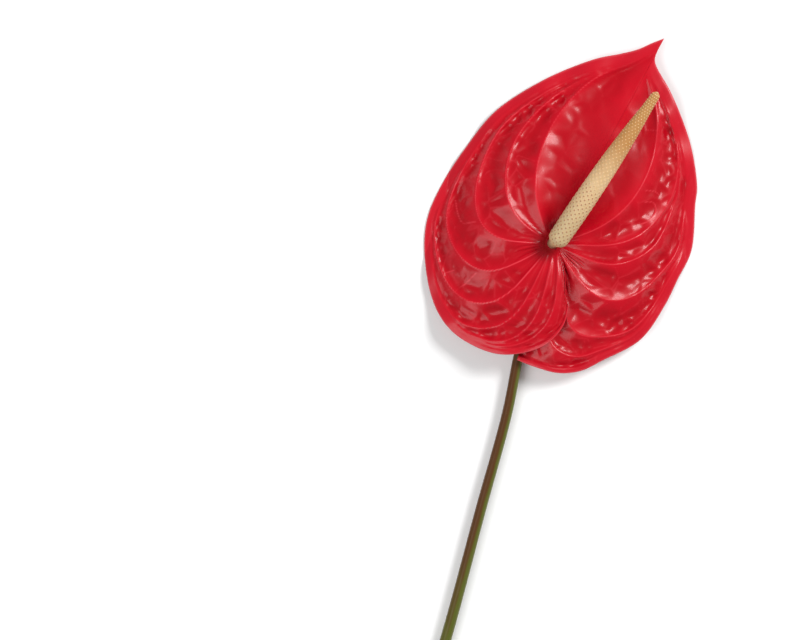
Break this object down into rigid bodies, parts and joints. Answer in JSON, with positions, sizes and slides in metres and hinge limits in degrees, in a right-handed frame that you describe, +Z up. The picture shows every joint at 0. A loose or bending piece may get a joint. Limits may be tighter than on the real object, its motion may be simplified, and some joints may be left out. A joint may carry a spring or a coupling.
{
  "type": "cut anthurium stem",
  "caption": "Cut anthurium lying on its back: a leafless stalk with one heart-shaped, deeply veined waxy red spathe and a tapering floret-covered spadix.",
  "frame": {"origin": "on the surface the flower lies on, under the middle of its box", "axes": "+Z up, away from the surface, which is also the way the bloom faces; +Y from the cut end towards the bloom; +X to the right as seen from above"},
  "size_m": [0.1446, 0.3672, 0.0347],
  "materials": {
    "stalk": "smooth green-brown plant stalk with a satin skin",
    "waxy_red": "thick waxy red bract, glossy, with raised veins",
    "florets": "cream florets turning orange-yellow towards the tip"
  },
  "bodies": {
    "root": {"peduncle": "stalk", "spathe": "waxy_red", "spadix": "florets"}
  },
  "joints": []
}
